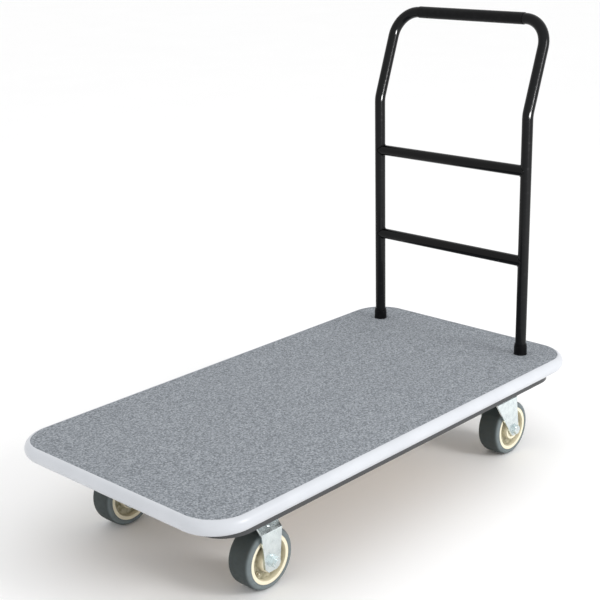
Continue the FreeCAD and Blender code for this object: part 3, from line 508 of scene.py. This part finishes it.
# %% Carpet surface
unevenness = bpy.data.textures.new("felt_unevenness", "CLOUDS")
unevenness.noise_scale = 0.03
top_skin, collar_gap, borer_depth = 0.0002, 0.0004, 0.02
top_points = carpet.vertex_groups.new(name="top")
on_top = [v.index for v in carpet.data.vertices if v.co.z > high.z - top_skin]
top_points.add(on_top, 1.0, "REPLACE")
apply_modifier(carpet, "DISPLACE", texture=unevenness, strength=0.0009, mid_level=0.75,
               direction="Z", texture_coords="LOCAL", vertex_group="top")
for side in ("left", "right"):
    a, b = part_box("handle_collar_" + side)
    bpy.ops.object.select_all(action="DESELECT")
    bpy.ops.mesh.primitive_cylinder_add(
        vertices=64, radius=(b.x - a.x) / 2 + collar_gap, depth=borer_depth,
        location=((a.x + b.x) / 2, (a.y + b.y) / 2, middle.z))
    borer = bpy.context.object
    apply_modifier(carpet, "BOOLEAN", object=borer, operation="DIFFERENCE", solver="EXACT")
    bpy.data.objects.remove(borer)
settle(carpet, "felt_carpet", "deck", "carpet", "deck_carpet")

# %% [markdown]
# ## Loose fibres
# Needled felt always has short ends standing out of it. A hair system could scatter them, but its
# hairs would still have to be turned into meshes. One fibre is a sliver extruded three times with a
# lean, so it curls over, and copies of it are scattered with a fixed seed. They stand under 2 mm
# proud, and keep off the rounded corners and the collars.
# %% One fibre
fibre_width, fibre_rise = 0.00022, 0.00045
bpy.ops.object.select_all(action="DESELECT")
bpy.ops.mesh.primitive_plane_add(size=fibre_width, location=(0, 0, 0))
sliver = bpy.context.object
bpy.ops.object.mode_set(mode="EDIT")
for lean in (0.0004, 0.0007, 0.0009):
    tip = max(v.co.z for v in bmesh.from_edit_mesh(sliver.data).verts)
    pick(sliver, verts=lambda co: co.z > tip - hair)
    bpy.ops.mesh.extrude_region_move(TRANSFORM_OT_translate={"value": (lean, 0, fibre_rise)})
bpy.ops.object.mode_set(mode="OBJECT")
points = np.array([v.co for v in sliver.data.vertices])
faces = [tuple(face.vertices) for face in sliver.data.polygons]
bpy.data.objects.remove(sliver)
print("one fibre", len(faces), "faces")
# %% Scattered fibres
tries, margin, collar_room, root = 3200, 0.004, 0.02, 0.0004
scatter = np.random.default_rng(7)
collars = [sum(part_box("handle_collar_" + side), Vector()) / 2 for side in ("left", "right")]
all_points, all_faces = [], []
for _ in range(tries):
    x = scatter.uniform(low.x + margin, high.x - margin)
    y = scatter.uniform(low.y + margin, high.y - margin)
    turn, scale = scatter.uniform(0, 2 * math.pi), scatter.uniform(0.6, 1.4)
    past_x = max(0, abs(x - middle.x) - size.x / 2 + corner)
    past_y = max(0, abs(y - middle.y) - size.y / 2 + corner)
    to_collar = min(math.hypot(x - collar.x, y - collar.y) for collar in collars)
    if math.hypot(past_x, past_y) > corner - margin or to_collar < collar_room:
        continue
    cos, sin = math.cos(turn), math.sin(turn)
    spun = points @ np.array([[cos, sin, 0], [-sin, cos, 0], [0, 0, 1]])
    all_faces += [tuple(i + len(all_points) * len(points) for i in face) for face in faces]
    all_points.append(spun * scale + [x, y, high.z - root])
fibre_mesh = bpy.data.meshes.new("loose_fibres")
fibre_mesh.from_pydata(np.concatenate(all_points).tolist(), [], all_faces)
loose = bpy.data.objects.new("loose_fibres", fibre_mesh)
scene.collection.objects.link(loose)
settle(loose, "loose_fibres", "deck", "carpet")
print("fibres", len(all_points), "of", tries)

# %% [markdown]
# ## Bumper
# The bumper is one extrusion bent round the deck. It could be swept along a curve, but the packed
# shape is already right, so that is merged and smoothed. Its two ends meet at the middle of the
# handle end, where a thin groove shows the butt joint.
# %% Bumper
low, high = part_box("edge_bumper")
bumper = edged("edge_bumper", 0)
groove_size = (0.0022, 0.0006, 0.05)
bpy.ops.object.select_all(action="DESELECT")
bpy.ops.mesh.primitive_cube_add(size=1, location=(high.x, 0, (low.z + high.z) / 2),
                                scale=groove_size)
groove = bpy.context.object
apply_modifier(bumper, "BOOLEAN", object=groove, operation="DIFFERENCE", solver="EXACT")
bpy.data.objects.remove(groove)
settle(bumper, "vinyl_bumper", "deck", "bumper_vinyl", "edge_bumper", angle=40)

# %% [markdown]
# ## Tyre
# A tyre could be spun from a half section, but starting from a cylinder shows how each feature is
# made: its rims are bevelled into round shoulders, its ends are inset for the sidewalls and then
# bridged through for the bore, and the middle of the tread is raised a little to crown it.
# %% Tyre body
low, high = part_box("tyre_front_right")
hub_low, hub_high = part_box("wheel_hub_front_right")
axle = (low + high) / 2
radius, half = (high.z - low.z) / 2, (high.y - low.y) / 2
bore = (hub_high.z - hub_low.z) / 2
crown, shoulder, wall_step, wall_ring = 0.0005, 0.009, 0.0011, 0.0009
side_radius = radius - crown - shoulder


def end_faces(centre, normal):
    return abs(normal.y) > 0.99 and (centre - axle).xz.length < 0.001


bpy.ops.object.select_all(action="DESELECT")
bpy.ops.mesh.primitive_cylinder_add(vertices=144, radius=radius - crown, depth=2 * half,
                                    location=axle, rotation=(math.pi / 2, 0, 0))
tyre = bpy.context.object
only(tyre)
bpy.ops.object.transform_apply(location=True, rotation=True, scale=True)
bpy.ops.object.mode_set(mode="EDIT")
pick(tyre, edges=lambda a, b: abs(a.y - b.y) < hair)
bpy.ops.mesh.bevel(offset=shoulder, segments=9)
for width in (wall_step, wall_ring, side_radius - wall_step - wall_ring - bore):
    pick(tyre, faces=end_faces)
    bpy.ops.mesh.inset(thickness=width)
pick(tyre, faces=end_faces)
bpy.ops.mesh.bridge_edge_loops()
print("tyre radius", radius, "bore", bore)
# %% Tyre tread and side
tread_skin, ring_depth = 0.003, 0.0006
for offset in (-0.016, -0.009, -0.0006, 0.0, 0.0006, 0.009, 0.016):
    pick(tyre, faces=lambda c, n: (c - axle).xz.length > radius - tread_skin and abs(n.y) < 0.1)
    bpy.ops.mesh.bisect(plane_co=axle + Vector((0, offset, 0)), plane_no=(0, 1, 0))
for reach, rise in ((0.0165, 0.00028), (0.0095, 0.00022)):
    pick(tyre, verts=lambda co: abs(co.y - axle.y) < reach
         and (co - axle).xz.length > radius - tread_skin)
    swell = 1 + rise / radius
    bpy.ops.transform.resize(value=(swell, 1, swell), center_override=axle)
pick(tyre, verts=lambda co: abs(abs(co.y - axle.y) - half) < hair
     and abs((co - axle).xz.length - (side_radius - wall_step)) < 0.0002)
bpy.ops.transform.resize(value=(1, 1 - ring_depth / half, 1), center_override=axle)
bpy.ops.mesh.select_all(action="SELECT")
bpy.ops.mesh.normals_make_consistent(inside=False)
bpy.ops.object.mode_set(mode="OBJECT")
print("tyre", len(tyre.data.polygons), "faces")
# %% Tyre numbers
def number_points(thing, name, value):
    """Gives each point of a mesh a number that its finish can read."""
    store = thing.data.attributes.new(name, "FLOAT", "POINT")
    store.data.foreach_set("value", [value(v.co) for v in thing.data.vertices])


# From here outwards the tread is painted darker: partly wear, partly painted shade.
dark_from, fade = 0.004, 0.003
number_points(tyre, "tread", lambda co: min(1, max(
    0, ((co - axle).xz.length - radius + dark_from) / fade)))
print("the tread darkens over", fade, "m")

# %% [markdown]
# ## Hub
# Both faces of the hub are shaped alike: a raised ring, a recess with sloping walls and a boss with
# a shallow counterbore. The hub could be spun from its section too, but as a list of insets and
# extrudes along the axle each step of it can be read and changed.
# %% Hub
bush_low, bush_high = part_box("wheel_bush_front_right")
ring_face, boss_half = half - 0.0005, (hub_high.y - hub_low.y) / 2
bush_radius = (bush_high.z - bush_low.z) / 2
bpy.ops.object.select_all(action="DESELECT")
bpy.ops.mesh.primitive_cylinder_add(vertices=144, radius=bore, depth=2 * ring_face,
                                    location=axle, rotation=(math.pi / 2, 0, 0))
hub = bpy.context.object
only(hub)
bpy.ops.object.transform_apply(location=True, rotation=True, scale=True)
bpy.ops.object.mode_set(mode="EDIT")
ring_width, recess_width, boss_ring = 0.0075, 0.0150, 0.0055
recess_depth, counterbore_depth, counterbore_radius = 0.012, 0.0025, 0.0190
recess_draft, boss_draft = 0.0020, 0.0015
boss_rise = boss_half - ring_face + recess_depth
steps = ((ring_width, 0, 0), (0, -recess_depth, recess_draft), (recess_width, 0, 0),
         (0, boss_rise, boss_draft), (boss_ring, 0, 0), (0, -counterbore_depth, 0),
         (counterbore_radius - bush_radius, 0, 0))
for way in (-1, 1):
    for inset, along, draft in steps:
        pick(hub, faces=lambda c, n: n.y * way > 0.99 and (c - axle).xz.length < 0.001)
        if inset:
            bpy.ops.mesh.inset(thickness=inset)
            continue
        bpy.ops.mesh.extrude_region_move(TRANSFORM_OT_translate={"value": (0, along * way, 0)})
        moved = [v.co for v in bmesh.from_edit_mesh(hub.data).verts if v.select]
        narrow = 1 - draft / max((co - axle).xz.length for co in moved)
        bpy.ops.transform.resize(value=(narrow, 1, narrow), center_override=axle)
pick(hub, faces=end_faces)
bpy.ops.mesh.bridge_edge_loops()
bpy.ops.mesh.select_all(action="SELECT")
bpy.ops.mesh.normals_make_consistent(inside=False)
bpy.ops.object.mode_set(mode="OBJECT")
hub_edge, darkest_depth, unshaded_rim = 0.0008, 0.010, 0.006
apply_modifier(hub, "BEVEL", width=hub_edge, segments=3, limit_method="ANGLE",
               angle_limit=math.radians(35))
# How deep a point lies sets the painted shade in the recess; the rim near the tyre stays unshaded.
number_points(hub, "hollow", lambda co: min(1, max(
    0, (ring_face - abs(co.y - axle.y)) / darkest_depth))
              if (co - axle).xz.length < bore - unshaded_rim else 0.0)
print("hub bore", bush_radius)

# %% [markdown]
# ## Four wheels
# The tyre and the hub are modelled once and copied to the four axles. Copies could share a mesh,
# but each wheel rides on a body of its own, so each copy has its own, moved by the distance
# between the axles.
# %% Four wheels
for place in ("front_left", "front_right", "rear_left", "rear_right"):
    a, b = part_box("tyre_" + place)
    shift = (a + b) / 2 - axle
    settle(own_copy(tyre, shift), "rubber_tyre_" + place, "wheel_" + place, "tyre_rubber",
           "tyre_" + place)
    settle(own_copy(hub, shift), "moulded_hub_" + place, "wheel_" + place, "hub_plastic",
           "wheel_hub_" + place, angle=30)
bpy.data.objects.remove(tyre)
bpy.data.objects.remove(hub)

# %% [markdown]
# ## Handle
# The handle's tube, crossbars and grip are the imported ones, merged and smoothed. Each crossbar is
# welded to each post. The two could simply meet, but a bead follows the saddle where two tubes of
# one width meet: a ring is added round the crossbar, its segments are swelled in turn for the
# ripples, and each is pushed out to the post.
# %% Handle tubes
sleeve_edge = 0.0003
lit_by_panel = bpy.data.collections.new("lit_by_panel")
slope_lamp.light_linking.receiver_collection = lit_by_panel
for node in ("handle_tube", "handle_crossbar_lower", "handle_crossbar_upper", "handle_grip_sleeve"):
    width = sleeve_edge if node.endswith("sleeve") else 0
    piece = settle(edged(node, width), node + "_smooth", "handle", slot_of[node], node, angle=40)
    if node == "handle_tube":
        lit_by_panel.objects.link(piece)
# %% Weld bead
bar_low, bar_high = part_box("handle_crossbar_lower")
bar, tube_radius, post_y = (bar_low + bar_high) / 2, (bar_high.z - bar_low.z) / 2, bar_high.y
bead_radius, ring, segments = 0.0016, tube_radius + 0.0004, 72
bpy.ops.object.select_all(action="DESELECT")
bpy.ops.mesh.primitive_torus_add(major_segments=segments, minor_segments=10, major_radius=ring,
                                 minor_radius=bead_radius, location=bar,
                                 rotation=(math.pi / 2, 0, 0))
bead = bpy.context.object
only(bead)
bpy.ops.object.transform_apply(location=True, rotation=True, scale=True)
bpy.ops.object.mode_set(mode="EDIT")


def in_segment(co):
    turned = math.remainder(math.atan2(co.z - bar.z, co.x - bar.x) - angle, 2 * math.pi)
    return (co - centre).length < bead_radius + 0.0002 and abs(turned) < math.pi / segments


ripple, between = 1.16, 0.98
for number in range(segments):
    angle = 2 * math.pi * number / segments
    centre = bar + Vector((ring * math.cos(angle), 0, ring * math.sin(angle)))
    pick(bead, verts=in_segment)
    swell = ripple if number % 3 == 0 else between
    bpy.ops.transform.resize(value=(swell, swell, swell), center_override=centre)
    across = min(tube_radius, abs(centre.x - bar.x))
    inward = math.sqrt(max(0, tube_radius ** 2 - across ** 2))
    bpy.ops.transform.translate(value=(0, post_y - inward, 0))
bpy.ops.object.mode_set(mode="OBJECT")
print("weld bead", len(bead.data.polygons), "faces")
# %% Weld beads
for level in ("lower", "upper"):
    a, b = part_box("handle_crossbar_" + level)
    lift = (a.z + b.z) / 2 - bar.z
    for side, mirror in (("left", 1), ("right", -1)):
        weld = own_copy(bead, (0, 0, lift))
        if mirror < 0:
            weld.data.transform(Matrix.Scale(-1, 4, (0, 1, 0)))
            weld.data.flip_normals()
        settle(weld, "weld_bead_" + level + "_" + side, "handle", "handle_paint", angle=60)
bpy.data.objects.remove(bead)

# %% [markdown]
# ## Pressed dimples on the rigid forks
# Each sloping shoulder of a rigid fork has a small round mark pressed in it. It could be cut out of
# the fork, but it is only a few millimetres wide. A flattened sphere, subdivided for a smooth
# outline and half sunk in the slope, catches the light much as the mark does.
# %% Pressed dimples
dimple_radius, flatness, slope = 0.0042, 0.12, math.pi / 4
out_from_middle, dimple_z = 0.0241, 0.1361
for side in ("left", "right"):
    a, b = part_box("rigid_fork_" + side)
    centre = (a + b) / 2
    for way in (-1, 1):
        spot = Vector((centre.x, centre.y + way * out_from_middle, dimple_z))
        bpy.ops.object.select_all(action="DESELECT")
        bpy.ops.mesh.primitive_uv_sphere_add(segments=24, ring_count=12, radius=dimple_radius,
                                             location=spot, rotation=(-way * slope, 0, 0),
                                             scale=(1, 1, flatness))
        dome = bpy.context.object
        apply_modifier(dome, "SUBSURF", levels=1, render_levels=1)
        face = "_outer" if (way > 0) == (side == "left") else "_inner"
        settle(dome, "fork_dimple_" + side + face, "deck", "zinc_steel")
